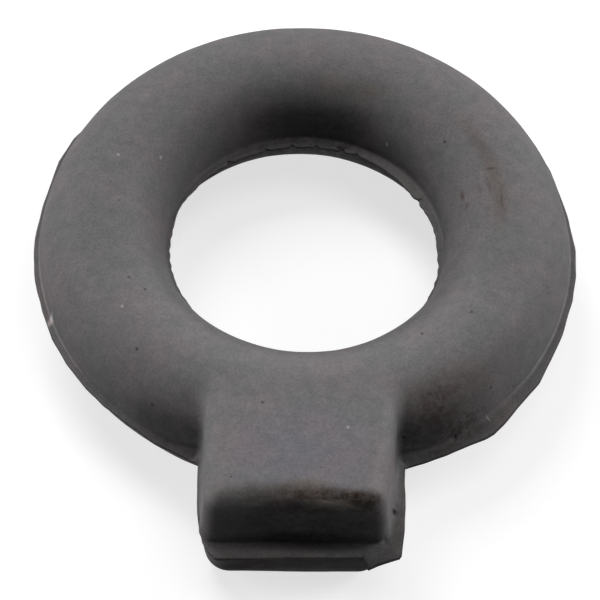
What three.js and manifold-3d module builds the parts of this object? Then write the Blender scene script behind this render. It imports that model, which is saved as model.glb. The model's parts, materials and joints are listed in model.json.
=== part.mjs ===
// Exhaust hanger: one piece of moulded rubber, a round ring with a square buffer lug on its rim.
// Two equal mould halves meet on a flat parting plane through the middle of the ring, and the rubber
// that crept between them is still there as a thin flash, trimmed by hand with straight cuts.
// Millimetres, +Z up. The ring lies flat and the lug points along -Y.

import * as THREE from 'three';
import { mergeVertices } from 'three/addons/utils/BufferGeometryUtils.js';
import Module from 'manifold-3d';

const wasm = await Module();
wasm.setup();

// Ring: radius of its centre line, and half the width and height of its oval section
const ringRadius = 22.9;
const ringHalfWidth = 7.1;
const ringHalfHeight = 7.8;

// Lug: how far it stands out of the ring's rim, its half width, and its roundings
const lugLength = 8.9;
const lugHalfWidth = 10.2;
const lugEdgeRadius = 2.6;
const lugCornerRadius = 3.2;
const lugDraft = THREE.MathUtils.degToRad(2);
const lugBelowCrown = 0.1;

// Fillet between the lug's flanks and the ring, tight at the parting plane and wide at the crown
const rootFilletLow = 1.4;
const rootFilletHigh = 5.0;
const rootBite = 0.1;

// Flash: its thickness, its width behind the ring and in the hole, and how that width swings
const flashThickness = 0.35;
const flashBehind = 0.45;
const flashInHole = 0.42;
const flashInHoleSwing = 0.08;

// Mismatch of the mould: how far the lower half sat to the left and towards the lug
const lowerHalfLeft = 0.35;
const lowerHalfForward = 0.15;

// Knife cuts that trimmed the ring's flash, from the lug round to the far side.
// Each is [degrees round from the lug's flank, width of flash left there].
const cutsOnLeftRim = [
  [0, 1.2], [10, 1.08], [24, 0.86], [30, 0.82], [44, 0.88], [59, 0.82], [70, 0.73], [79, 0.53],
  [91, 0.92], [98, 0.9], [106, 0.5],
];
const cutsOnRightRim = [
  [0, 1.13], [4, 1.36], [9, 1.6], [14, 1.78], [20, 2.2], [23, 2.1], [27, 1.7], [35, 1.55],
  [39, 1.15], [47, 0.98], [57, 0.85], [63, 0.87], [70, 0.76], [79, 0.45], [91, 0.42],
];

// Cuts round the lug, each [width left beside its flank, width left in front of its end face].
// The cut along the end missed the right corner, where a torn tab of flash stays.
const cutsOnLeftFlank = [[0.78, -7.6], [0.62, -3.6], [0.3, -2], [-0.35, 1.1], [-0.5, 1.6], [-1, 1.85]];
const cutsOnRightFlank = [
  [1.3, -8], [1.41, -5.2], [1.3, -2.1], [1.1, -0.2], [1, 1.26], [-0.48, 1.73], [-1.54, 2.07],
  [-2.8, 2.97], [-3, 1.1],
];

// Tears in the flash round the hole, by their place in degrees from +X
const holeTears = [61, 76, 88, 99, 112, 127, 217, 328];

// Facets round the ring, over half its section, and along each rounding
const ringSteps = 96;
const sectionSteps = 16;
const roundingSteps = 6;
const rootSteps = 10;
const tearSteps = 120;

const rimRadius = ringRadius + ringHalfWidth;
const holeRadius = ringRadius - ringHalfWidth;
const lugReach = rimRadius + lugLength;
const lugHalfHeight = ringHalfHeight - lugBelowCrown;

function polar(radius, angle) {
  return new THREE.Vector2(radius * Math.cos(angle), radius * Math.sin(angle));
}

function arc(centre, radius, from, to, steps) {
  return Array.from({ length: steps + 1 }, (_, i) =>
    polar(radius, THREE.MathUtils.lerp(from, to, i / steps)).add(centre));
}

// Closed mesh to solid, so that pieces of the mould cavity can be joined
function solidFrom(geometry) {
  geometry.deleteAttribute('normal');
  geometry.deleteAttribute('uv');
  const merged = mergeVertices(geometry);
  return new wasm.Manifold(new wasm.Mesh({
    numProp: 3,
    vertProperties: merged.attributes.position.array,
    triVerts: new Uint32Array(merged.index.array),
  }));
}

function geometryFrom(solid) {
  const { vertProperties, triVerts } = solid.getMesh();
  const geometry = new THREE.BufferGeometry();
  geometry.setAttribute('position', new THREE.BufferAttribute(vertProperties, 3));
  geometry.setIndex(new THREE.BufferAttribute(triVerts, 1));
  geometry.computeVertexNormals();
  return geometry;
}

// Upper half of the ring: the top of its oval section, turned about the ring's axis
function ringHalf() {
  const profile = Array.from({ length: sectionSteps + 1 }, (_, i) => {
    const turn = (Math.PI * i) / sectionSteps;
    return new THREE.Vector2(
      ringRadius + ringHalfWidth * Math.cos(turn), ringHalfHeight * Math.sin(turn));
  });
  profile[0].y = 0;
  profile[sectionSteps].y = 0;
  profile.push(profile[0].clone());
  return new THREE.LatheGeometry(profile, ringSteps).rotateX(Math.PI / 2);
}

// Outline of the lug at one height: from its end up the right flank, out through the root fillet to
// the ring's centre line, where the ring covers it, and back down the left flank.
function lugOutline(height, inset) {
  const taper = height * Math.tan(lugDraft) + inset;
  const halfWidth = lugHalfWidth - taper;
  const reach = lugReach - taper;
  const corner = Math.max(lugCornerRadius - inset, 0.3);
  const share = (height / lugHalfHeight) ** 2;
  const fillet = THREE.MathUtils.lerp(rootFilletLow, rootFilletHigh, share);
  const rim = ringRadius - rootBite
    + ringHalfWidth * Math.sqrt(1 - (height / ringHalfHeight) ** 2);

  // The fillet's centre is its radius away from both the flank and the ring's rim
  const filletX = halfWidth + fillet;
  const filletY = -Math.sqrt((rim + fillet) ** 2 - filletX ** 2);
  const rimTurn = Math.atan2(filletY, filletX);
  const rightSide = [
    ...arc(new THREE.Vector2(halfWidth - corner, corner - reach), corner, -Math.PI / 2, 0, roundingSteps),
    ...arc(new THREE.Vector2(filletX, filletY), fillet, Math.PI, rimTurn + Math.PI, roundingSteps),
  ];
  const leftSide = rightSide.map((p) => new THREE.Vector2(-p.x, p.y)).reverse();
  const root = arc(new THREE.Vector2(), ringRadius, rimTurn, -Math.PI - rimTurn, rootSteps);
  return [...rightSide, ...root, ...leftSide];
}

// Skin over outlines with equal counts of points, stacked from low to high, with both ends closed
function loft(outlines, heights) {
  const count = outlines[0].length;
  const last = count * (outlines.length - 1);
  const positions = outlines.flatMap((outline, k) => outline.flatMap((p) => [p.x, p.y, heights[k]]));
  const index = [];
  for (let start = 0; start < last; start += count) {
    for (let i = 0; i < count; i += 1) {
      const next = (i + 1) % count;
      const [a, b, c, d] = [start + i, start + next, start + count + next, start + count + i];
      index.push(a, b, c, a, c, d);
    }
  }
  for (const [a, b, c] of THREE.ShapeUtils.triangulateShape(outlines[0], [])) index.push(a, c, b);
  for (const [a, b, c] of THREE.ShapeUtils.triangulateShape(outlines.at(-1), [])) {
    index.push(last + a, last + b, last + c);
  }
  const geometry = new THREE.BufferGeometry();
  geometry.setAttribute('position', new THREE.Float32BufferAttribute(positions, 3));
  geometry.setIndex(index);
  return geometry;
}

// Upper half of the lug: a drafted wall, then a rounded edge up to the flat top
function lugHalf() {
  const wallHeight = lugHalfHeight - lugEdgeRadius;
  const levels = [0, 1, 2, 3].map((i) => [(wallHeight * i) / 3, 0]);
  for (let i = 1; i <= roundingSteps; i += 1) {
    const turn = (Math.PI / 2) * (i / roundingSteps);
    levels.push([wallHeight + lugEdgeRadius * Math.sin(turn), lugEdgeRadius * (1 - Math.cos(turn))]);
  }
  return loft(levels.map(([height, inset]) => lugOutline(height, inset)), levels.map(([height]) => height));
}

// Trimmed edge of the flash on one side of the part, from the lug's end back to the far side
function trimmedSide(side, flankCuts, rimCuts) {
  const flankX = lugHalfWidth + flankCuts[0][0];
  const rootTurn = Math.asin(flankX / (rimRadius + rimCuts[0][1]));
  const flank = flankCuts.map(([beside, ahead]) =>
    new THREE.Vector2(side * (lugHalfWidth + beside), -lugReach - ahead));
  const rim = rimCuts.map(([degrees, width]) => {
    const turn = rootTurn + THREE.MathUtils.degToRad(degrees);
    return new THREE.Vector2(
      side * (rimRadius + width) * Math.sin(turn), -(rimRadius + width) * Math.cos(turn));
  });
  return [...flank.reverse(), ...rim];
}

// Flash: a thin sheet on the parting plane, with its hand-trimmed edge and the ragged hole inside
function flashSheet() {
  const left = trimmedSide(-1, cutsOnLeftFlank, cutsOnLeftRim);
  const right = trimmedSide(1, cutsOnRightFlank, cutsOnRightRim);
  const behind = arc(
    new THREE.Vector2(), rimRadius + flashBehind, right.at(-1).angle(), left.at(-1).angle(), rootSteps);
  const sheet = new THREE.Shape([...right, ...behind.slice(1, -1), ...left.reverse()]);

  const ragged = Array.from({ length: tearSteps }, (_, i) => {
    const turn = (2 * Math.PI * i) / tearSteps;
    const nearestTear = Math.min(...holeTears.map((tear) =>
      Math.abs(turn - THREE.MathUtils.degToRad(tear))));
    const torn = nearestTear < Math.PI / tearSteps;
    const width = torn ? 0 : flashInHole + flashInHoleSwing * Math.cos(2 * turn);
    return polar(holeRadius - width, turn);
  });
  sheet.holes.push(new THREE.Path(ragged));
  return new THREE.ExtrudeGeometry(sheet, { depth: flashThickness, bevelEnabled: false, steps: 1 })
    .translate(0, 0, -flashThickness / 2);
}

// Both mould halves are the same cavity: the lower one is the upper one turned over about Y
function mouldedBody() {
  const upper = solidFrom(ringHalf()).add(solidFrom(lugHalf()));
  const lower = upper.rotate([0, 180, 0]).translate([-lowerHalfLeft, -lowerHalfForward, 0]);
  return upper.add(lower).add(solidFrom(flashSheet()));
}

const rubber = new THREE.MeshStandardMaterial({ color: 0x4b494b, roughness: 0.75, metalness: 0 });
const hanger = new THREE.Mesh(geometryFrom(mouldedBody()), rubber);
hanger.name = 'hanger';

// The origin is under the middle of the part, on the surface that the part lies on
const extent = new THREE.Box3().setFromObject(hanger);
const middle = extent.getCenter(new THREE.Vector3());
hanger.position.set(-middle.x, -middle.y, -extent.min.z);

const part = new THREE.Group();
part.add(hanger);

export default part;
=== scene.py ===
import json
import math

import bpy
import numpy as np
from mathutils import Matrix, Vector


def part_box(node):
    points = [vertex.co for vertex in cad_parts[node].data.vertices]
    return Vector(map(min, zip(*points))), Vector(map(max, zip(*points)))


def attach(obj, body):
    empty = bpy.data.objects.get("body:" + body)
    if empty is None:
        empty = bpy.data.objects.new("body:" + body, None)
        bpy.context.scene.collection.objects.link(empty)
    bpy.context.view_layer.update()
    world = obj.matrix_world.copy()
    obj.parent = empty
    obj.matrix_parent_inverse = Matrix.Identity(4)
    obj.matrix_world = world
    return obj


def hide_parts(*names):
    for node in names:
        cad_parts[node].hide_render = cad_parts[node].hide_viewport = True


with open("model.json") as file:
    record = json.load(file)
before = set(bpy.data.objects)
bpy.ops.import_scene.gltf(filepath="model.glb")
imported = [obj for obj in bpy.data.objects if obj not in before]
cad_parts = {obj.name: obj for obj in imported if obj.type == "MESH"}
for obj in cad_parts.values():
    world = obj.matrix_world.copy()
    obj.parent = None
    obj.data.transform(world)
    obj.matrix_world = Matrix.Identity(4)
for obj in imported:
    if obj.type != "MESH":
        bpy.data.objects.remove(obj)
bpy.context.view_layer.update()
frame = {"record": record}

# The moulding: one piece of dense black rubber pressed in a two-part mould, a thick ring with a
# square buffer lug on its rim. The halves meet on a flat parting plane, where the rubber that crept
# between them is left as a thin flash, trimmed by hand. Lengths are millimetres from the ring's centre.

MM_PER_METRE = 1000
RING_RADIUS = 22.9
RING_HALF_WIDTH = 7.1
RING_HALF_HEIGHT = 7.8
LUG_REACH = 38.8
LUG_HALF_WIDTH = 10.1
LUG_HALF_HEIGHT = 7.7
LUG_FLARE = math.radians(3.5)
FLANK_DRAFT = math.radians(4.5)
END_DRAFT = math.radians(2.5)
LUG_EDGE_RADIUS = 2.1
UPPER_CORNER_RADIUS = 1.7
LOWER_CORNER_RADIUS = 2.9
LEAST_CORNER_RADIUS = 0.3
LUG_LEAN = 0.03
LUG_SLANT = 0.021
LUG_ROOT = -28
ROOT_FILLET_LOW = 1.0
ROOT_FILLET_HIGH = 4.0
ROOT_FILLET_CURVE = 4
CROWN_BLEND = 0.15

# Mismatch of the two halves: the shift to the left grows between the two places along Y
LOWER_HALF_LEFT = 0.4
LOWER_HALF_FORWARD = 0.2
LEFT_SHIFT_FROM, LEFT_SHIFT_TO = -22, 4

# Flash: half its thickness, and the hollow rounding at its root, which is wide in the two corners
# behind the lug and along the lug's right flank, between the places given along Y
FLASH_HALF_THICKNESS = 0.175
FLASH_ROOT_RADIUS = 0.3
END_ROOT_RADIUS = 0.2
END_ROOT_PLACE = -37.2, -38.2
FLANK_ROOT_RADIUS = 1.1
FLANK_ROOT_FRONT = -36.8, -34.8
FLANK_ROOT_BACK = -29, -30
WEB_RADIUS = 1.5
WEB_LENGTH = 2.2
WEB_CENTRE = np.array([11.1, -28.8])
ROOT_MOST = 0.85

# Bead of rubber that swelled out along the foot of the wall
BEAD_HEIGHT = 0.4
BEAD_WIDTH = 0.3
BEAD_SWELL = 0.09

# Edge of the flash: its width behind the ring and at the least, how far inside the wall the search
# for the trimmed outline starts, how ragged it is, how it droops for each millimetre of width and in
# waves, and the tears in the hole, in degrees round the ring's axis
FLASH_BEHIND, POINTS_BEHIND = 0.45, 22
FLASH_LEAST = 0.06
SEARCH_BACK = 2
RAG_LENGTH = 1.6
RAG_OUTSIDE, RAG_IN_HOLE = 0.015, 0.04
DROOP_EVERYWHERE, DROOP_AHEAD, DROOP_RIGHT = 0.08, 0.1, 0.3
DROOP_RIGHT_FROM, DROOP_RIGHT_TO = -2, 12
DROOP_CURVE = 1.4
DROOP_WAVE, WAVE_OUTSIDE, WAVE_IN_HOLE = 0.04, 9, 7
HOLE_TEARS = [29, 67, 74, 86, 97, 109, 127, 217, 328]
TEAR_DEPTH = 0.42
TEAR_HALF_ANGLE = 0.018

# Unevenness of the rubber's skin, as height and length of its waves
SWELL_HEIGHT, SWELL_LENGTH = 0.03, 11
RIPPLE_HEIGHT, RIPPLE_LENGTH = 0.008, 2.5

# Knife cuts round the rim, each (degrees round from the lug's flank, width of flash left), and cuts
# round the lug, each (width left beside its flank, width left in front of its end face)
LEFT_RIM_CUTS = [(0, 1.15), (5, 0.9), (10, 0.98), (24, 0.83), (30, 0.85), (37, 0.86), (44, 0.87),
                 (51, 0.72), (59, 0.8), (65, 0.74), (70, 0.73), (79, 0.53), (91, 0.92), (98, 0.98),
                 (106, 0.62), (118, 0.5)]
RIGHT_RIM_CUTS = [(0, 1.0), (4, 1.13), (9, 1.32), (14, 1.5), (18, 1.9), (20, 1.98), (23, 1.85),
                  (27, 1.55), (35, 1.5), (39, 1.2), (47, 1.03), (57, 0.9), (63, 0.88), (70, 0.8),
                  (79, 0.5), (91, 0.62), (98, 0.68), (105, 0.66), (114, 0.6)]
LEFT_FLANK_CUTS = [(0.88, -7.45), (0.72, -3.45), (0.45, -1.85), (0, 0.2), (-0.7, 1.4), (-1.5, 2.15)]
RIGHT_FLANK_CUTS = [(1.4, -7.85), (1.51, -5.05), (1.4, -1.95), (1.2, -0.05), (1.1, 1.05),
                    (-0.38, 1.6), (-1.44, 2.0), (-2.5, 2.5), (-2.9, 1.35)]

# Width of flash left in the hole, each (degrees round the ring's axis, width)
HOLE_CUTS = [(0, 0.76), (5, 0.84), (15, 0.92), (25, 1.2), (32, 1.38), (45, 1.36), (60, 1.35),
             (90, 1.45), (110, 1.4), (130, 1.05), (150, 0.72), (160, 0.46), (171, 0.6), (190, 0.44),
             (212, 0.6), (250, 0.6), (300, 0.5), (328, 0.36), (345, 0.38), (351, 0.46), (356, 0.7),
             (360, 0.76)]

# Columns of the surface round the outline, for each half of the lug and for the whole ring, and its
# rows up the inner wall, across the crown, round the edge, down the wall, and on the flash: round its
# root and round its edge, and on the sheet between them
END_COLUMNS, CORNER_COLUMNS, FLANK_COLUMNS, FILLET_COLUMNS, RING_COLUMNS = 32, 16, 26, 12, 370
LUG_COLUMNS = END_COLUMNS + CORNER_COLUMNS + FLANK_COLUMNS + FILLET_COLUMNS
INNER_ROWS, CROWN_ROWS, EDGE_ROWS, WALL_ROWS = 24, 11, 13, 12
WALL_ROW_CURVE = 0.8
FLASH_ROUND_ROWS, SHEET_ROWS = 7, 3


def mix(a, b, share):
    """A value a share of the way from a to b."""
    return a + (b - a) * share


def steps(count):
    """Shares from 0 up to, but not including, 1, as a column."""
    return (np.arange(count) / count)[:, None]


def plan_arc(centre, radius, turn):
    """Points in plan round a centre: the centre plus the radius times the turn's cosine and sine."""
    return np.stack([centre[0] + radius * np.cos(turn), centre[1] + radius * np.sin(turn)], -1)


def lug_plan(height, inset, corner_radius):
    """The lug's right side in plan at each height: its corner and its root fillet, each as a centre
    and a radius, and the ring's rim as its radius and the turn at which the fillet meets it.
    Flank and end stand back with their draft and with the inset of the lug's rounded edge. The flank
    is the line at its own distance from the axis, flared towards the ring. The corner touches flank
    and end. The fillet touches the flank and the rim, whose radius follows the section's oval."""
    ahead, aside = math.sin(LUG_FLARE), math.cos(LUG_FLARE)
    flank = LUG_HALF_WIDTH * aside + LUG_REACH * ahead - height * math.tan(FLANK_DRAFT) - inset
    corner = np.maximum(corner_radius - inset, LEAST_CORNER_RADIUS)
    corner_y = corner + height * math.tan(END_DRAFT) + inset - LUG_REACH
    corner_x = (flank - corner + corner_y * ahead) / aside
    rim = RING_RADIUS + RING_HALF_WIDTH * np.sqrt(1 - (height / RING_HALF_HEIGHT) ** 2)
    fillet = mix(ROOT_FILLET_LOW, ROOT_FILLET_HIGH, (height / LUG_HALF_HEIGHT) ** ROOT_FILLET_CURVE)
    back = np.sqrt((rim + fillet) ** 2 - (flank + fillet) ** 2)
    fillet_x = (flank + fillet) * aside - back * ahead
    fillet_y = -back * aside - (flank + fillet) * ahead
    rim_turn = np.arctan2(fillet_y, fillet_x)
    return ((corner_x, corner_y), corner), ((fillet_x, fillet_y), fillet), (rim, rim_turn)


def lug_side(height, inset, corner_radius):
    """Outline of the lug's right side, from the middle of its end to the ring's rim."""
    ends = np.cumsum([END_COLUMNS, CORNER_COLUMNS, FLANK_COLUMNS])
    parts = [lug_plan(high, back, corner_radius)
             for high, back in zip(np.split(height, ends), np.split(inset, ends))]
    (corner, radius), _, _ = parts[0]
    end = np.stack([corner[0] * steps(END_COLUMNS), corner[1] - radius], -1)
    (corner, radius), _, _ = parts[1]
    rounded = plan_arc(corner, radius, mix(-np.pi / 2, -LUG_FLARE, steps(CORNER_COLUMNS)))
    (corner, radius), (root, fillet), _ = parts[2]
    flank = mix(plan_arc(corner, radius, -LUG_FLARE), plan_arc(root, -fillet, -LUG_FLARE),
                steps(FLANK_COLUMNS)[..., None])
    _, (root, fillet), (_, rim_turn) = parts[3]
    hollow = plan_arc(root, fillet, np.pi + mix(-LUG_FLARE, rim_turn, steps(FILLET_COLUMNS)))
    return np.concatenate([end, rounded, flank, hollow])


def outline(height, inset, corner_radius):
    """Outline of ring and lug in plan, columns by levels by two, at each column's own heights: the
    lug's right side, the rim as an arc, and the lug's left side, which is the right one mirrored.
    The lug is then set askew: it leans to the left the further it stands out, and its end is cut a
    little aslant, both in proportion to the distance in front of its root."""
    right = lug_side(height[:LUG_COLUMNS], inset[:LUG_COLUMNS], corner_radius)
    ring = slice(LUG_COLUMNS, LUG_COLUMNS + RING_COLUMNS + 1)
    _, _, (rim, rim_turn) = lug_plan(height[ring], inset[ring], corner_radius)
    share = (np.arange(RING_COLUMNS + 1) / RING_COLUMNS)[:, None]
    around = plan_arc((0, 0), rim, mix(rim_turn, np.pi - rim_turn, share))
    mirrored = np.roll(height[::-1], 1, 0), np.roll(inset[::-1], 1, 0)
    left = lug_side(mirrored[0][:LUG_COLUMNS], mirrored[1][:LUG_COLUMNS], corner_radius) * [-1, 1]
    plan = np.concatenate([right, around, left[:0:-1]])
    ahead = np.clip(LUG_ROOT - plan[..., 1], 0, None)
    ahead[LUG_COLUMNS:LUG_COLUMNS + RING_COLUMNS + 1] = 0
    askew = np.stack([-LUG_LEAN * ahead, LUG_SLANT * plan[..., 0] * ahead / (LUG_REACH + LUG_ROOT)], -1)
    return plan + askew


def crown_turns(top_outline):
    """Where each column crosses the ring's crown, as an angle round the ring's axis.
    On the ring it is the column's own angle. In front of the lug the columns fan out, each by its
    share of the way along the lug's outline."""
    turn = np.unwrap(np.arctan2(top_outline[:, 1], top_outline[:, 0]))
    strides = np.linalg.norm(np.diff(top_outline[:LUG_COLUMNS + 1], axis=0), axis=1)
    run = np.concatenate([[0], np.cumsum(strides)])
    fan = mix(-np.pi / 2, turn[LUG_COLUMNS], run / run[-1])
    turn[:LUG_COLUMNS] = fan[:-1]
    turn[LUG_COLUMNS + RING_COLUMNS + 1:] = np.pi - fan[1:-1][::-1]
    return turn


def trimmed_edge():
    """Corners of the flash's trimmed outline in plan, anticlockwise. A cut on the rim stands its
    width outside the rim at its angle from the lug's flank, and the far side is left even."""
    rim = RING_RADIUS + RING_HALF_WIDTH
    sides = []
    for side, flank_cuts, rim_cuts in ((1, RIGHT_FLANK_CUTS, RIGHT_RIM_CUTS),
                                       (-1, LEFT_FLANK_CUTS, LEFT_RIM_CUTS)):
        beside, ahead = np.array(flank_cuts[::-1]).T
        flank = np.stack([side * (LUG_HALF_WIDTH + beside), -LUG_REACH - ahead], -1)
        degrees, width = np.array(rim_cuts).T
        root = math.asin((LUG_HALF_WIDTH + beside[-1]) / (rim + width[0]))
        around = plan_arc((0, 0), rim + width, root + np.radians(degrees) - np.pi / 2) * [side, 1]
        sides.append(np.concatenate([flank, around]))
    right, left = sides
    first = math.atan2(right[-1, 1], right[-1, 0])
    last = math.atan2(left[-1, 1], left[-1, 0]) % (2 * math.pi)
    behind = plan_arc((0, 0), rim + FLASH_BEHIND, np.linspace(first, last, POINTS_BEHIND + 2)[1:-1])
    return np.concatenate([right, behind, left[::-1]])


def distance_to_edge(start, way, corners):
    """How far each start point lies from the trimmed outline along its way.
    Each side of the outline, from a to b, is met where start + t way = a + s (b - a), and the
    smallest positive t with s between 0 and 1 is the distance."""
    side = np.roll(corners, -1, 0) - corners
    gap = corners[None] - start[:, None]
    cross = way[:, None, 0] * side[None, :, 1] - way[:, None, 1] * side[None, :, 0]
    with np.errstate(divide="ignore", invalid="ignore"):
        t = (gap[..., 0] * side[None, :, 1] - gap[..., 1] * side[None, :, 0]) / cross
        s = (gap[..., 0] * way[:, None, 1] - gap[..., 1] * way[:, None, 0]) / cross
        return np.where((s >= 0) & (s <= 1) & (t > 0), t, np.inf).min(1)


def waves(points, wavelength, seed, count=24):
    """Smooth unevenness between about -1 and 1: a sum of plane waves in random directions, each 0.7
    to 1.5 times the given wavelength long, over the root of their count."""
    draw = np.random.default_rng(seed)
    way = draw.normal(size=(count, points.shape[-1]))
    way /= np.linalg.norm(way, axis=1, keepdims=True)
    way *= 2 * np.pi / (wavelength * draw.uniform(0.7, 1.5, (count, 1)))
    return np.sin(points @ way.T + draw.uniform(0, 2 * np.pi, count)).sum(-1) / math.sqrt(count)


def smooth_step(low, high, value):
    """Goes smoothly from 0 at low to 1 at high."""
    share = np.clip((value - low) / (high - low), 0, 1)
    return share ** 2 * (3 - 2 * share)


def mismatch(points):
    """Plan points of the upper half moved to the lower one: forward, and to the left behind."""
    left = LOWER_HALF_LEFT * smooth_step(LEFT_SHIFT_FROM, LEFT_SHIFT_TO, points[..., 1])
    return np.stack([points[..., 0] - left, points[..., 1] - LOWER_HALF_FORWARD], -1)


def root_radii(foot):
    """Radius of the hollow at the flash's root for each column, by the place of its foot: a bell
    round each corner behind the lug, a stretch of the right flank, and the front of the lug."""
    x, y = foot.T
    apart = np.hypot(np.abs(x) - WEB_CENTRE[0], y - WEB_CENTRE[1])
    front = smooth_step(*END_ROOT_PLACE, y)
    right_flank = smooth_step(*FLANK_ROOT_FRONT, y) * smooth_step(*FLANK_ROOT_BACK, y) * (x > 0)
    radius = mix(FLASH_ROOT_RADIUS, END_ROOT_RADIUS, front)
    radius = mix(radius, FLANK_ROOT_RADIUS, right_flank)
    return np.maximum(radius, WEB_RADIUS * np.exp(-(apart / WEB_LENGTH) ** 2))


def flash_droops(foot, way):
    """How far the flash droops at its edge, for each millimetre of width: a little everywhere, more
    ahead and most on the right ahead, where it was left widest. Ahead is the share of the flash's
    way that points along the lug."""
    ahead = np.clip(-way[:, 1], 0, 1)
    right = smooth_step(DROOP_RIGHT_FROM, DROOP_RIGHT_TO, foot[:, 0])
    return DROOP_EVERYWHERE + DROOP_RIGHT * ahead * right + DROOP_AHEAD * ahead


def flash_section(foot, edge, root, droop):
    """The flash's upper face from its root on the wall to its edge: columns by rows by three, with
    each point's share of the width and how far it droops. A quarter round of the root's radius turns
    the wall into the sheet, the sheet runs out, and a quarter round of half its thickness, or of a
    third of a narrow sheet's width, ends it. The droop grows as a power of the share of the width."""
    way = edge - foot
    width = np.linalg.norm(way, axis=1, keepdims=True)
    lip = np.minimum(FLASH_HALF_THICKNESS, width / 3)
    reach = np.minimum(root[:, None], ROOT_MOST * (width - lip))
    turn = np.linspace(0, np.pi / 2, FLASH_ROUND_ROWS)[None]
    level = np.linspace(0, 1, SHEET_ROWS + 2)[None, 1:-1]
    out = np.concatenate([reach * (1 - np.cos(turn)), mix(reach, width - lip, level),
                          width - lip + lip * np.sin(turn)], 1)
    high = np.concatenate([FLASH_HALF_THICKNESS + root[:, None] * (1 - np.sin(turn)),
                           FLASH_HALF_THICKNESS + 0 * level * width,
                           FLASH_HALF_THICKNESS * np.cos(turn) + 0 * width], 1)
    share = out / width
    plan = foot[:, None] + way[:, None] * share[..., None]
    drop = -droop[:, None] * share ** DROOP_CURVE
    return np.concatenate([plan, high[..., None]], -1), share, drop


def body_half(corner_radius):
    """Upper half of the moulding without its flash: columns round the outline by rows from the
    flash's root in the hole, up the inner wall, over the crown and down the outer wall. With it come
    each column's turn on the crown, its outward way in plan, and the radius of its flash's root."""
    columns = 2 * LUG_COLUMNS + RING_COLUMNS
    rounding = np.linspace(np.pi / 2, 0, EDGE_ROWS)
    shoulder = LUG_HALF_HEIGHT - LUG_EDGE_RADIUS
    low_level = np.full((columns, 1), FLASH_HALF_THICKNESS)
    root = root_radii(outline(low_level, 0 * low_level, corner_radius)[:, 0])
    down = np.linspace(0, 1, WALL_ROWS + 1)[1:] ** WALL_ROW_CURVE
    wall = mix(shoulder, FLASH_HALF_THICKNESS + root[:, None], down)
    edge = shoulder + LUG_EDGE_RADIUS * np.sin(rounding)
    edge_inset = LUG_EDGE_RADIUS * (1 - np.cos(rounding))
    heights = np.concatenate([np.broadcast_to(edge, (columns, EDGE_ROWS)), wall], 1)
    insets = np.concatenate([np.broadcast_to(edge_inset, (columns, EDGE_ROWS)), 0 * wall], 1)
    levels = outline(heights, insets, corner_radius)

    # Outward way of each column in plan, square to the outline at the foot of the wall
    tangent = np.roll(levels[:, -1], -1, 0) - np.roll(levels[:, -1], 1, 0)
    outward = np.stack([tangent[:, 1], -tangent[:, 0]], -1)
    outward /= np.linalg.norm(outward, axis=1, keepdims=True)
    bead = BEAD_SWELL * np.exp(-((heights - heights[:, -1:] - BEAD_HEIGHT) / BEAD_WIDTH) ** 2)
    levels = levels + outward[:, None] * bead[..., None]
    outer_wall = np.concatenate([levels, heights[..., None]], -1)

    # Inner wall: the oval section from the foot up to the crown
    turn = crown_turns(levels[:, 0])
    inner_foot_height = FLASH_HALF_THICKNESS + FLASH_ROOT_RADIUS
    section = np.linspace(math.asin(inner_foot_height / RING_HALF_HEIGHT), np.pi / 2, INNER_ROWS)
    inner_high = RING_HALF_HEIGHT * np.sin(section)
    above_foot = inner_high - inner_foot_height
    inner_bead = BEAD_SWELL * np.exp(-((above_foot - BEAD_HEIGHT) / BEAD_WIDTH) ** 2)
    inner_radius = RING_RADIUS - RING_HALF_WIDTH * np.cos(section) - inner_bead
    inner_plan = plan_arc((0, 0), 1, turn)[:, None] * inner_radius[None, :, None]
    inner_heights = np.broadcast_to(inner_high[None, :, None], (columns, INNER_ROWS, 1))
    inner_wall = np.concatenate([inner_plan, inner_heights], -1)

    # Crown: straight across from the crown line to the outline. Its height is the oval's or the
    # lug's flat top, whichever is higher, with a soft change between them that ends at the fillet.
    share = np.linspace(0, 1, CROWN_ROWS + 2)[1:-1]
    crown_plan = mix(inner_wall[:, -1:, :2], levels[:, :1], share[None, :, None])
    radius = np.linalg.norm(crown_plan, axis=-1)
    beyond = np.clip(1 - ((radius - RING_RADIUS) / RING_HALF_WIDTH) ** 2, 0, 1)
    rise = RING_HALF_HEIGHT * np.sqrt(beyond) - LUG_HALF_HEIGHT
    from_lug = np.minimum(np.arange(columns), columns - np.arange(columns))
    blend = CROWN_BLEND * smooth_step(LUG_COLUMNS, LUG_COLUMNS - FILLET_COLUMNS, from_lug)[:, None]
    crown_high = LUG_HALF_HEIGHT + (rise + np.sqrt(rise ** 2 + blend ** 2)) / 2
    crown = np.concatenate([crown_plan, crown_high[..., None]], -1)
    return np.concatenate([inner_wall, crown, outer_wall], 1), turn, outward, root


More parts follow.
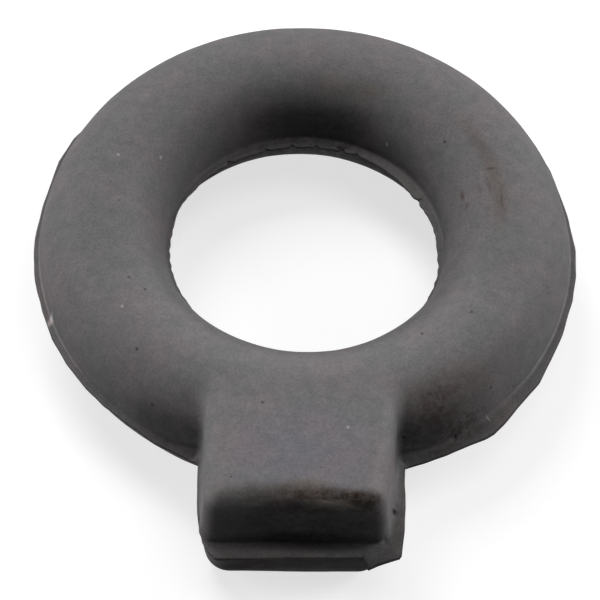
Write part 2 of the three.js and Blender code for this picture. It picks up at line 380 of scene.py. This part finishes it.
def moulding_surface():
    """The whole moulding as one closed grid, columns round the outline by rows round the section,
    with each point's share of the flash's width.
    The rows run from the flash's edge in the hole over the upper half to its edge outside, and back
    under the lower half, which is moved by the mould's mismatch and turned over. The edge outside
    stands where the column's outward way meets the trimmed outline, and outside the lower half."""
    body, turn, outward, root = body_half(UPPER_CORNER_RADIUS)
    lower_body, _, _, lower_root = body_half(LOWER_CORNER_RADIUS)
    lower_body[..., :2] = mismatch(lower_body[..., :2])
    foot = body[:, -1, :2]
    columns = len(foot)

    # Edges of the flash: outside where the knife cut it, and in the hole ragged with small tears
    ragged = waves(plan_arc((0, 0), RING_RADIUS, turn), RAG_LENGTH, seed=3)
    least = np.maximum(((lower_body[:, -1, :2] - foot) * outward).sum(1), 0) + FLASH_LEAST
    start = foot - SEARCH_BACK * outward
    found = distance_to_edge(start, outward, trimmed_edge()) - SEARCH_BACK
    reach = np.maximum(found, least)
    edge_outside = foot + outward * (reach + RAG_OUTSIDE * ragged)[:, None]
    droop = reach * flash_droops(foot, outward) + DROOP_WAVE * waves(edge_outside, WAVE_OUTSIDE, seed=5)
    tear_turn = np.radians(HOLE_TEARS)[None] - turn[:, None]
    from_tear = (tear_turn + np.pi) % (2 * np.pi) - np.pi
    tear = np.exp(-(from_tear / TEAR_HALF_ANGLE) ** 2).max(1)
    degrees, width = np.array(HOLE_CUTS).T
    width = np.interp(np.degrees(turn) % 360, degrees, width) + RAG_IN_HOLE * ragged - TEAR_DEPTH * tear
    edge_in_hole = plan_arc((0, 0), RING_RADIUS - RING_HALF_WIDTH - width, turn)
    droop_in_hole = DROOP_WAVE * waves(edge_in_hole, WAVE_IN_HOLE, seed=6)

    halves = []
    for side, half, root_radius in ((1, body, root), (-1, lower_body, lower_root)):
        inside, inside_share, inside_drop = flash_section(
            half[:, 0, :2], edge_in_hole, np.full(columns, FLASH_ROOT_RADIUS), droop_in_hole)
        outside, outside_share, outside_drop = flash_section(
            half[:, -1, :2], edge_outside, root_radius, droop)
        grid = np.concatenate([inside[:, :0:-1], half, outside[:, 1:]], 1)
        none = np.zeros(half.shape[:2])
        drop = np.concatenate([inside_drop[:, :0:-1], none, outside_drop[:, 1:]], 1)
        grid[..., 2] = side * grid[..., 2] + drop
        halves.append((grid, np.concatenate([inside_share[:, :0:-1], none, outside_share[:, 1:]], 1)))
    (upper, upper_flash), (lower, lower_flash) = halves
    grid = np.concatenate([upper, lower[:, -2:0:-1]], 1)
    return grid, np.concatenate([upper_flash, lower_flash[:, -2:0:-1]], 1)


def surface_normals(grid):
    """Outward normals of a closed grid: the cross product of the steps to its neighbours."""
    along = np.roll(grid, -1, 0) - np.roll(grid, 1, 0)
    across = np.roll(grid, -1, 1) - np.roll(grid, 1, 1)
    normal = np.cross(across, along)
    return normal / np.maximum(np.linalg.norm(normal, axis=-1, keepdims=True), 1e-9)


def closed_grid_mesh(name, points):
    """Mesh of a grid that closes on itself both ways: each square joins a point to the next along
    its column and its row, counted round."""
    columns, rows = points.shape[:2]
    place = np.arange(columns * rows).reshape(columns, rows)
    right, up = np.roll(place, -1, 0), np.roll(place, -1, 1)
    corners = np.stack([place, up, np.roll(right, -1, 1), right], -1).reshape(-1, 4)
    mesh = bpy.data.meshes.new(name)
    mesh.vertices.add(columns * rows)
    mesh.vertices.foreach_set("co", points.reshape(-1).astype(np.float32))
    mesh.loops.add(corners.size)
    mesh.loops.foreach_set("vertex_index", corners.reshape(-1).astype(np.int32))
    mesh.polygons.add(len(corners))
    mesh.polygons.foreach_set("loop_start", np.arange(0, corners.size, 4, dtype=np.int32))
    mesh.update(calc_edges=True)
    mesh.validate()
    mesh.shade_smooth()
    return mesh


# Pits left by trapped air and by the trimming, each (x, y, z, radius, depth)
PITS = [(17.0, -24.9, 0.2, 0.3, 0.2), (18.5, -24.2, 0.2, 0.22, 0.12), (10.7, -33.9, 0.5, 0.38, 0.25),
        (10.4, -34.7, 0.35, 0.45, 0.3), (9.5, -38.4, 0.3, 0.3, 0.2), (-10.6, -36.3, 0.2, 0.4, 0.2)]


def pitted(points):
    """How deep each point lies below the smooth surface: each pit's depth times a bell curve of the
    distance from its middle over its radius, summed."""
    pits = np.array(PITS)
    apart = np.linalg.norm(points[..., None, :] - pits[:, :3], axis=-1)
    return (pits[:, 4] * np.exp(-(apart / pits[:, 3]) ** 2)).sum(-1)


low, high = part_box("hanger")
eye_low, eye_high = np.array(frame["record"]["physics"]["openings"][0]["box_m"])
ring_centre = np.array([*((eye_low + eye_high) / 2)[:2], (low[2] + high[2]) / 2])

grid, flash_share = moulding_surface()
swell = SWELL_HEIGHT * (waves(grid, SWELL_LENGTH, seed=1) - 1)
ripple = RIPPLE_HEIGHT * (waves(grid, RIPPLE_LENGTH, seed=2) - 1)
push = np.minimum(swell + ripple, 0) * (flash_share == 0) - pitted(grid) * (grid[..., 2] > 0)
grid = grid + surface_normals(grid) * push[..., None]
moulding_mesh = closed_grid_mesh("moulding", ring_centre + grid / MM_PER_METRE)
flash_attribute = moulding_mesh.attributes.new("flash", "FLOAT", "POINT")
flash_attribute.data.foreach_set("value", flash_share.reshape(-1))
moulding = bpy.data.objects.new("moulding", moulding_mesh)
bpy.context.scene.collection.objects.link(moulding)


def add_node(tree, kind, settings=None, **inputs):
    """A shader node with its settings, its inputs named by socket, each a value or a socket."""
    node = tree.nodes.new("ShaderNode" + kind)
    for key, value in (settings or {}).items():
        setattr(node, key, value)
    for key, value in inputs.items():
        socket = node.inputs[int(key[2:]) if key.startswith("at") else key.replace("_", " ")]
        if isinstance(value, bpy.types.NodeSocket):
            tree.links.new(value, socket)
        else:
            socket.default_value = value
    return node


# Marks on the rubber, placed in millimetres from the ring's centre: patches whose tint multiplies the
# rubber's colour, some real stains, others painted shade and painted light, as the groups say; each is
# (place, half sizes, turn in degrees, how patchy, tint).
STAIN_AND_LIGHT_PATCHES = [
    # The lug's top, brown stains in the hollow right of its root, and painted shade in the corners
    # beside its root and on both of its flanks near the root
    ((0.0, -32.0, 7.7), (11.0, 8.0, 4.0), 0, 0.0, (0.99, 0.97, 1.03)),
    ((15.6, -23.0, 5.0), (8.5, 4.8, 5.0), 30, 0.35, (0.78, 0.71, 0.68)),
    ((14.1, -23.4, 4.4), (4.6, 3.4, 3.5), 30, 0.8, (0.72, 0.64, 0.62)),
    ((18.0, -24.2, 1.6), (5.0, 2.2, 2.4), 35, 0.9, (0.60, 0.54, 0.53)),
    ((13.4, -27.0, 2.7), (8.0, 3.6, 3.8), 27, 0.2, (0.36, 0.36, 0.36)),
    ((-14.2, -26.5, 2.2), (8.0, 3.8, 4.2), -28, 0.2, (0.58, 0.58, 0.58)),
    ((11.6, -27.5, 5.0), (2.2, 3.4, 3.5), 0, 0.2, (0.66, 0.65, 0.65)),
    ((-11.6, -27.8, 4.5), (1.8, 3.0, 3.5), 0, 0.2, (0.84, 0.84, 0.84)),
    # The front edge of the lug's top
    ((0.3, -37.5, 7.2), (13.0, 2.3, 2.2), -2, 0.25, (0.48, 0.44, 0.40)),
    ((0.5, -36.3, 7.7), (3.6, 1.6, 1.0), 4, 0.3, (0.88, 0.84, 0.76)),
    ((2.2, -37.2, 7.5), (5.8, 1.0, 1.0), 4, 0.6, (0.74, 0.67, 0.61)),
    ((7.1, -37.5, 7.1), (2.9, 1.5, 1.5), 12, 0.4, (0.42, 0.36, 0.33)),
    ((5.6, -37.2, 7.5), (2.2, 0.5, 0.8), 8, 0.6, (0.55, 0.48, 0.42)),
    ((3.4, -37.8, 6.7), (4.8, 0.8, 0.8), -5, 0.5, (2.3, 2.4, 2.3)),
    ((-5.4, -38.0, 6.6), (2.2, 0.5, 0.5), -4, 0.5, (1.5, 1.5, 1.45)),
    # Painted shade on the lug's end face above the flash and in the strip below it, painted light from
    # the table on its lower edge, and painted light on the flash in front of it
    ((1.0, -38.8, 0.9), (11.5, 1.6, 1.9), 1, 0.15, (0.28, 0.28, 0.28)),
    ((1.5, -38.6, 4.0), (13.5, 2.0, 4.9), 1, 0.3, (0.38, 0.38, 0.38)),
    ((0.0, -38.9, -2.8), (12.0, 2.0, 2.2), 1, 0.3, (0.60, 0.60, 0.60)),
    ((0.0, -38.2, -6.5), (11.5, 1.8, 1.9), 1, 0.2, (3.0, 3.0, 3.0)),
    ((0.0, -40.4, 0.0), (12.0, 1.8, 0.9), 0, 0.2, (1.5, 1.5, 1.5)),
    # The far side of the hole: painted light from the table below its flash, a darker patchy band on
    # the flash, and painted shade above it
    ((0.5, 15.0, -3.5), (14.5, 6.5, 3.6), 0, 0.5, (3.2, 3.2, 3.15)),
    ((0.5, 14.6, 0.1), (14.0, 3.2, 0.9), 0, 0.9, (0.70, 0.69, 0.68)),
    ((0.5, 15.6, 3.0), (11.5, 3.0, 3.6), 0, 0.2, (0.50, 0.50, 0.50)),
    # The flash right of the lug's root, darker partly with dirt and partly with painted shade, and
    # painted shade on the flash at the lug's right corner
    ((17.0, -27.0, 0.1), (10.0, 5.0, 0.8), 40, 0.3, (0.56, 0.55, 0.53)),
    ((10.6, -38.0, 0.1), (2.5, 6.0, 0.7), 0, 0.3, (0.85, 0.83, 0.81)),
    # Single marks on the crown, in the hole and on the flash of the rim
    ((5.0, 18.3, 6.4), (6.5, 1.6, 2.5), -8, 0.5, (0.98, 0.93, 0.85)),
    ((17.6, 3.9, 5.6), (0.28, 0.9, 1.2), 12, 0.2, (0.72, 0.55, 0.55)),
    ((18.1, 2.4, 5.9), (0.22, 0.5, 1.2), -10, 0.2, (0.78, 0.62, 0.62)),
    ((20.7, 6.3, 7.7), (0.9, 0.25, 1.0), 0, 0.1, (0.62, 0.60, 0.60)),
    ((-7.8, 14.2, -1.6), (2.6, 1.6, 2.2), 25, 0.7, (0.62, 0.56, 0.52)),
    ((3.9, 14.4, 0.1), (1.2, 0.35, 0.5), -12, 0.4, (0.40, 0.37, 0.35)),
    ((-28.0, -10.8, 0.3), (0.48, 1.45, 1.2), -22, 0.0, (2.7, 2.5, 2.5)),
    ((20.6, -22.4, 0.2), (0.65, 0.18, 0.5), -50, 0.0, (2.0, 2.0, 2.0)),
]

# Specks, each a place, and pale scratches, each (place, half length, turn in degrees)
DARK_SPECKS = [(-4.6, 13.8, 0.1), (-1.65, 14.45, 0.1), (1.1, 14.5, 0.1), (4.15, 13.95, 0.1),
               (15.6, 10.8, 6.5), (16.0, 1.5, 2.3), (18.4, -13.5, 7.8), (11.2, -27.1, 3.3),
               (-19.2, -10.0, 7.7), (-17.4, -11.4, 7.4), (-17.9, -19.0, 6.9), (-16.1, -24.2, 3.9),
               (-4.1, -25.9, 7.7), (13.0, -16.3, 7.4), (-14.7, -9.2, 4.9), (-14.1, -9.0, 3.8),
               (20.7, -20.6, 3.6), (11.6, -28.3, 1.2), (13.2, 7.3, 0.1)]
WHITE_SPECKS = [(5.1, -28.8, 7.7), (1.1, -38.7, 1.9), (-19.8, -13.9, 7.7), (-16.6, 7.9, 6.0),
                (-21.3, 6.8, 7.8), (9.2, 13.4, 2.4)]
SPECK_SIZES = 0.26, 0.26, 0.26
SCRATCHES = [((-6.2, -37.6, 7.4), 0.75, -22), ((-4.3, -38.15, 6.9), 1.2, -4),
             ((-1.0, -37.5, 7.4), 0.8, 2), ((3.0, -37.8, 7.1), 1.9, -7),
             ((6.0, -38.1, 6.7), 1.6, -10), ((-8.3, -38.7, 5.9), 0.5, 0),
             ((1.4, -38.25, 6.6), 1.3, 3), ((5.0, -38.4, 6.2), 1.5, -9), ((9.2, 13.4, 2.4), 0.4, 75)]
SCRATCH_WIDTH, SCRATCH_HEIGHT = 0.14, 0.6

# Ellipsoids, each (place, half sizes, turn): the streaked part of the crown and the smear along it
STREAKED_PART = (20.8, 1.5, 7.6), (3.2, 8.5, 4.0), 8
SMEARED_PART = (20.2, 5.5, 7.6), (6.5, 11.5, 4.0), 15
SMEAR_RADIUS, SMEAR_HALF_WIDTH = 21.8, 1.3

# Colours of the rubber's clouds, and tints that multiply them. Scattered dust is (size of the cell
# that may hold a grain, tint).
COOL_GREY = 0.138, 0.138, 0.140
WARM_GREY = 0.155, 0.141, 0.144
SMEAR_TINT = 0.84, 0.80, 0.76
SCRATCH_TINT = 1.7, 1.67, 1.6
DARK_TINT = 0.45, 0.43, 0.42
WHITE_TINT = 2.0, 2.0, 2.0
# Painted shade that darkens the pits, and how far it spreads beyond each pit
PIT_SHADE_TINT, PIT_SPREAD = (0.2, 0.2, 0.2), 1.3
DUST = [(2.6, (1.5, 1.5, 1.5)), (3.4, (0.6, 0.57, 0.56))]
# Painted highlight along the flash's root, and painted shade over the whole flash
ROOT_HIGHLIGHT_TINT = 1.4, 1.4, 1.4
FLASH_SHADE_TINT = 0.86, 0.85, 0.84
CUT_EDGE_TINT = 0.55, 0.54, 0.53

# Tone of the crown on the lug and on the ring, lighter towards the lug, which changes between two
# places along Y;
# painted shade on the walls, which changes to the crown's painted light between two heights; and
# painted shade on the ring's inner slope, which changes to 1 between two radii
LUG_TONE, RING_TONE, WALL_PAINTED_SHADE, INNER_PAINTED_SHADE = 1.12, 0.98, 0.94, 0.88
LUG_TONE_TO, RING_TONE_FROM = -14.0, -5.0
WALL_TONE_TO, CROWN_TONE_FROM = 5.4, 7.7
INNER_TONE_TO, OUTER_TONE_FROM = 17.3, 20.0

# Radius that tells the flash of the hole from the rim's, and how dark the hole's cut edge is beside it
HOLE_FLASH_TO, RIM_FLASH_FROM = 24.0, 25.0
HOLE_CUT_SHARE = 0.4

# Sizes of the rubber's patterns, how far they swing the tone, how fast its streaks change round and
# across the ring, and the streaks' strength everywhere and on the streaked part
CLOUD_SIZE, PATCH_SIZE, DUST_REACH = 6, 0.8, 0.05
MOTTLE_SIZE, MOTTLE_SWING = 1.5, 0.1
GRAIN_SIZE, GRAIN_SWING = 0.26, 0.14
STREAKS_ROUND, STREAKS_ACROSS = 7, 1.7
FAINT_STREAK, STRONG_STREAK = 0.07, 0.34

# Sheen, and the fine relief of the skin, whose height is in metres
SPECULAR_LEVEL = 0.05
ROUGHNESS_SIZE, ROUGHNESS_LEAST, ROUGHNESS_MOST = 2.2, 0.62, 0.76
RELIEF_SIZE, RELIEF_STRENGTH, RELIEF_HEIGHT = 0.4, 0.35, 0.00006


def rubber_finish():
    """Dull grey-black rubber under a pale bloom, clouded in a cool and a warm grey, mottled, and
    grained, with painted light on the crown and painted shade on the walls and on the ring's inner
    slope. Faint streaks run round the ring. Stains, specks, scratches and pits lie where the real part
    has them; further patches are painted shade and painted light, the pits are darkened with painted
    shade, the flash's root has a painted highlight and the flash has painted shade, and the flash is
    darker at its cut edge."""
    material = bpy.data.materials.new("rubber")
    material.use_nodes = True
    tree = material.node_tree
    shader = tree.nodes["Principled BSDF"]

    def ramp(value, low, high, at_low, at_high):
        """A smooth step between two values, as the given value goes from low to high."""
        node = add_node(tree, "MapRange", {"interpolation_type": "SMOOTHSTEP"},
                        at0=value, at1=low, at2=high, at3=at_low, at4=at_high)
        return node.outputs[0]

    def times(first, second):
        """The product of two values."""
        return add_node(tree, "Math", {"operation": "MULTIPLY"}, at0=first, at1=second).outputs[0]

    def less(value, share):
        """A value times a smooth step that falls from 1 to 0 as the share goes from 0 to 1."""
        return times(value, ramp(share, 0.0, 1.0, 1.0, 0.0))

    def tinted(colour, tint, share):
        """A colour, and a share of the way from it to the colour times the tint."""
        kind = {"data_type": "RGBA", "blend_type": "MULTIPLY", "clamp_result": False}
        return add_node(tree, "Mix", kind, at0=share, at6=colour, at7=(*tint, 1)).outputs[2]

    def noise(vector, size, detail, roughness=0.6):
        """Smooth noise whose largest waves have the given size."""
        return add_node(tree, "TexNoise", Vector=vector, Scale=1 / size, Detail=float(detail),
                        Roughness=roughness).outputs["Fac"]

    def spot(centre, half_sizes, turn=0):
        """1 inside 0.3 of an ellipsoid's size, falling smoothly to 0 at its surface."""
        inside = add_node(tree, "Mapping", {"vector_type": "TEXTURE"}, Vector=place, Location=centre,
                          Rotation=(0, 0, math.radians(turn)), Scale=half_sizes).outputs[0]
        sphere = add_node(tree, "TexGradient", {"gradient_type": "SPHERICAL"}, Vector=inside)
        return ramp(sphere.outputs["Fac"], 0.0, 0.7, 0.0, 1.0)

    # Place in millimetres from the ring's centre, and its distance and direction from the axis
    place = add_node(tree, "Mapping", Vector=add_node(tree, "TexCoord").outputs["Object"],
                     Location=tuple(-MM_PER_METRE * ring_centre),
                     Scale=(MM_PER_METRE, MM_PER_METRE, MM_PER_METRE)).outputs[0]
    _, northing, height = add_node(tree, "SeparateXYZ", Vector=place).outputs
    plan = add_node(tree, "VectorMath", {"operation": "MULTIPLY"}, at0=place, at1=(1, 1, 0)).outputs[0]
    radius = add_node(tree, "VectorMath", {"operation": "LENGTH"}, at0=plan).outputs["Value"]
    way = add_node(tree, "VectorMath", {"operation": "NORMALIZE"}, at0=plan).outputs[0]
    round_ring = add_node(tree, "VectorMath", {"operation": "MULTIPLY"},
                          at0=way, at1=(STREAKS_ROUND, STREAKS_ROUND, 0)).outputs[0]
    across = add_node(tree, "CombineXYZ", Z=times(radius, STREAKS_ACROSS)).outputs[0]
    along = add_node(tree, "VectorMath", {"operation": "ADD"}, at0=round_ring, at1=across).outputs[0]

    # Clouds of tint, and the tone: painted light on the crown against painted shade on the walls,
    # lighter towards the lug, and painted shade on the ring's inner slope, then mottling, grain and
    # streaks round the ring
    clouds = add_node(tree, "ValToRGB", Fac=noise(place, CLOUD_SIZE, 4, 0.65))
    ends = clouds.color_ramp.elements
    ends[0].position, ends[0].color = 0.38, (*COOL_GREY, 1)
    ends[1].position, ends[1].color = 0.62, (*WARM_GREY, 1)
    crown = ramp(northing, LUG_TONE_TO, RING_TONE_FROM, LUG_TONE, RING_TONE)
    # Painted light on the crown and painted shade on the walls, by height, then painted shade on the
    # ring's inner slope
    painted_light_by_height = ramp(height, WALL_TONE_TO, CROWN_TONE_FROM, WALL_PAINTED_SHADE, crown)
    tone = times(painted_light_by_height, ramp(radius, INNER_TONE_TO, OUTER_TONE_FROM, INNER_PAINTED_SHADE, 1.0))
    mottle = noise(place, MOTTLE_SIZE, 5, 0.68)
    tone = times(tone, ramp(mottle, 0.2, 0.8, 1 - MOTTLE_SWING, 1 + MOTTLE_SWING))
    grain = noise(place, GRAIN_SIZE, 2)
    tone = times(tone, ramp(grain, 0.2, 0.8, 1 - GRAIN_SWING, 1 + GRAIN_SWING))
    streak = ramp(noise(along, 1, 3), 0.5, 0.68, 0.0, 1.0)
    tone = less(tone, times(streak, FAINT_STREAK))
    marked = times(streak, spot(*STREAKED_PART))
    tone = less(tone, times(marked, STRONG_STREAK))
    colour = add_node(tree, "HueSaturation", Value=tone, Color=clouds.outputs[0]).outputs[0]

    # Stains, painted shade and painted light, broken up by the same patches, and a smear along the
    # crown on the right
    patches = ramp(noise(place, PATCH_SIZE, 5, 0.75), 0.36, 0.64, 0.0, 1.0)
    for centre, half_sizes, turn, patchy, tint in STAIN_AND_LIGHT_PATCHES:
        share = times(spot(centre, half_sizes, turn), ramp(patches, 0.0, 1.0, 1 - patchy, 1.0))
        colour = tinted(colour, tint, share)
    beside = add_node(tree, "Math", {"operation": "SUBTRACT"}, at0=radius, at1=SMEAR_RADIUS)
    beside = add_node(tree, "Math", {"operation": "ABSOLUTE"}, at0=beside.outputs[0]).outputs[0]
    smear = times(ramp(beside, 0.2, SMEAR_HALF_WIDTH, 1.0, 0.0), spot(*SMEARED_PART))
    colour = tinted(colour, SMEAR_TINT, smear)

    # Scratches, broken up like the stains, then specks, painted shade in the pits, and scattered dust.
    # About a third of the cells of a dust pattern hold a grain.
    for centre, half_length, turn in SCRATCHES:
        scratch = spot(centre, (half_length, SCRATCH_WIDTH, SCRATCH_HEIGHT), turn)
        colour = tinted(colour, SCRATCH_TINT, times(scratch, patches))
    for centres, tint in ((DARK_SPECKS, DARK_TINT), (WHITE_SPECKS, WHITE_TINT)):
        for centre in centres:
            colour = tinted(colour, tint, spot(centre, SPECK_SIZES))
    # Painted shade in each pit
    for x, y, z, size, _ in PITS:
        half_sizes = size, PIT_SPREAD * size, PIT_SPREAD * size
        colour = tinted(colour, PIT_SHADE_TINT, spot((x, y, z), half_sizes))
    for size, tint in DUST:
        cells = add_node(tree, "TexVoronoi", Vector=place, Scale=1 / size)
        grain_here = ramp(cells.outputs["Distance"], 0.5 * DUST_REACH, DUST_REACH, 1.0, 0.0)
        chosen = add_node(tree, "SeparateColor", Color=cells.outputs["Color"]).outputs[0]
        colour = tinted(colour, tint, times(grain_here, ramp(chosen, 0.6, 0.7, 0.0, 1.0)))

    # Flash: a painted highlight along its root on the rim, painted shade that makes it a little darker
    # than the wall, and dark along its cut edge, less so in the hole. The radius tells the rim's flash
    # from the hole's.
    flash = add_node(tree, "Attribute", {"attribute_name": "flash"}).outputs["Fac"]
    on_rim = ramp(radius, HOLE_FLASH_TO, RIM_FLASH_FROM, 0.0, 1.0)
    painted_root_highlight = times(ramp(flash, 0.0, 0.06, 0.0, 1.0), ramp(flash, 0.10, 0.34, 1.0, 0.0))
    painted_root_highlight = times(painted_root_highlight, ramp(northing, -21.0, -14.0, 0.0, 1.0))
    colour = tinted(colour, ROOT_HIGHLIGHT_TINT, times(painted_root_highlight, on_rim))
    colour = tinted(colour, FLASH_SHADE_TINT, ramp(flash, 0.1, 0.4, 0.0, 1.0))
    cut_share = ramp(radius, HOLE_FLASH_TO, RIM_FLASH_FROM, HOLE_CUT_SHARE, 1.0)
    cut_edge = times(ramp(flash, 0.88, 0.97, 0.0, 1.0), cut_share)
    colour = tinted(colour, CUT_EDGE_TINT, cut_edge)
    tree.links.new(colour, shader.inputs["Base Color"])

    sheen = noise(place, ROUGHNESS_SIZE, 3)
    roughness = ramp(sheen, 0.3, 0.7, ROUGHNESS_LEAST, ROUGHNESS_MOST)
    tree.links.new(roughness, shader.inputs["Roughness"])
    shader.inputs["Specular IOR Level"].default_value = SPECULAR_LEVEL
    relief = add_node(tree, "Bump", Height=noise(place, RELIEF_SIZE, 3),
                      Strength=RELIEF_STRENGTH, Distance=RELIEF_HEIGHT)
    tree.links.new(relief.outputs["Normal"], shader.inputs["Normal"])
    return material


moulding_mesh.materials.append(rubber_finish())
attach(moulding, "root")
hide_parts("hanger")


# The table: a plain white sheet under the part. The camera sees it white with the part's soft
# shadow on it, and it throws little light back up at the rubber.

TABLE_SIZE = 3.0
TABLE_WHITE = 0.4
TABLE_GLOW = 0.7
TABLE_BOUNCE = 0.25


def table_finish():
    """White to the camera and in reflections, dark grey to the light that it would throw back."""
    material = bpy.data.materials.new("table")
    material.use_nodes = True
    tree = material.node_tree
    tree.nodes.remove(tree.nodes["Principled BSDF"])
    path = add_node(tree, "LightPath").outputs
    seen = add_node(tree, "Math", {"operation": "ADD", "use_clamp": True},
                    at0=path["Is Camera Ray"], at1=path["Is Glossy Ray"])
    seen = add_node(tree, "Math", {"operation": "ADD", "use_clamp": True},
                    at0=seen.outputs[0], at1=path["Is Transmission Ray"])
    white = add_node(tree, "BsdfDiffuse", Color=(TABLE_WHITE, TABLE_WHITE, TABLE_WHITE, 1))
    glow = add_node(tree, "Emission", Color=(1, 1, 1, 1), Strength=TABLE_GLOW)
    shown = add_node(tree, "AddShader", at0=white.outputs[0], at1=glow.outputs[0])
    bounce = add_node(tree, "BsdfDiffuse", Color=(TABLE_BOUNCE, TABLE_BOUNCE, TABLE_BOUNCE, 1))
    both = add_node(tree, "MixShader", at0=seen.outputs[0], at1=bounce.outputs[0], at2=shown.outputs[0])
    tree.links.new(both.outputs[0], tree.nodes["Material Output"].inputs["Surface"])
    return material


table_mesh = bpy.data.meshes.new("table")
half = TABLE_SIZE / 2
table_corners = [(-half, -half, 0), (half, -half, 0), (half, half, 0), (-half, half, 0)]
table_mesh.from_pydata(table_corners, [], [(0, 1, 2, 3)])
table_mesh.materials.append(table_finish())
table = bpy.data.objects.new("table", table_mesh)
bpy.context.scene.collection.objects.link(table)


# The light: a soft lamp high behind and to the left, a low soft lamp on either side and a weaker one
# overhead, as in a light tent that is open towards the camera.

LAMP_DISTANCE = 0.6
LAMP_SIZE = 0.3
SURROUND_LEVEL = 0.01


def soft_lamp(name, turn, rise, share):
    """A square lamp turned to the ring's centre. Turn is anticlockwise from +X and rise is above
    the table, in degrees. At share 1 a white sheet that faces the lamp renders white."""
    data = bpy.data.lights.new(name, "AREA")
    data.shape = "SQUARE"
    data.size = LAMP_SIZE
    data.energy = math.pi ** 2 * LAMP_DISTANCE ** 2 * share
    lamp = bpy.data.objects.new(name, data)
    level = math.cos(math.radians(rise))
    ahead, aside = level * math.cos(math.radians(turn)), level * math.sin(math.radians(turn))
    way = Vector((ahead, aside, math.sin(math.radians(rise))))
    lamp.location = Vector(ring_centre) + way * LAMP_DISTANCE
    lamp.rotation_euler = way.to_track_quat("Z", "Y").to_euler()
    bpy.context.scene.collection.objects.link(lamp)


soft_lamp("high_lamp", 120, 52, 0.62)
soft_lamp("right_lamp", 23, 18, 0.82)
soft_lamp("left_lamp", 171, 8, 0.79)
soft_lamp("overhead_lamp", 0, 75, 0.24)

world = bpy.data.worlds.new("surround")
world.use_nodes = True
background = world.node_tree.nodes["Background"]
background.inputs["Color"].default_value = (1, 1, 1, 1)
background.inputs["Strength"].default_value = SURROUND_LEVEL
bpy.context.scene.world = world


# The camera: in front of the lug and looking down at it, as the photograph was taken. It stands where
# the ring's middle and size match the photo's, and is turned a little round its own axis.

IMAGE_SIZE = 600
FOCAL_PIXELS = 3226
RING_IN_IMAGE = (304.8, 248.5)
CAMERA_RISE = math.radians(54.27)
CAMERA_DISTANCE = 0.3664
CAMERA_ROLL = math.radians(1.517)
SENSOR_WIDTH = 36

camera_data = bpy.data.cameras.new("camera")
camera_data.sensor_width = SENSOR_WIDTH
camera_data.lens = FOCAL_PIXELS / IMAGE_SIZE * SENSOR_WIDTH
camera_data.clip_start = 0.01
camera = bpy.data.objects.new("camera", camera_data)
back = Vector((0, -math.cos(CAMERA_RISE), math.sin(CAMERA_RISE)))
level_right = Vector((1, 0, 0))
level_up = back.cross(level_right)
right = level_right * math.cos(CAMERA_ROLL) + level_up * math.sin(CAMERA_ROLL)
up = level_up * math.cos(CAMERA_ROLL) - level_right * math.sin(CAMERA_ROLL)
aside = (RING_IN_IMAGE[0] - IMAGE_SIZE / 2) / FOCAL_PIXELS
above = (IMAGE_SIZE / 2 - RING_IN_IMAGE[1]) / FOCAL_PIXELS
aim_back = (back + right * aside + up * above).normalized()
right = (right - aim_back * right.dot(aim_back)).normalized()
up = aim_back.cross(right)
place = Vector(ring_centre) + back * CAMERA_DISTANCE
camera.matrix_world = Matrix.Translation(place) @ Matrix((right, up, aim_back)).transposed().to_4x4()
bpy.context.scene.collection.objects.link(camera)
bpy.context.scene.camera = camera

bpy.context.scene.view_settings.view_transform = "Standard"
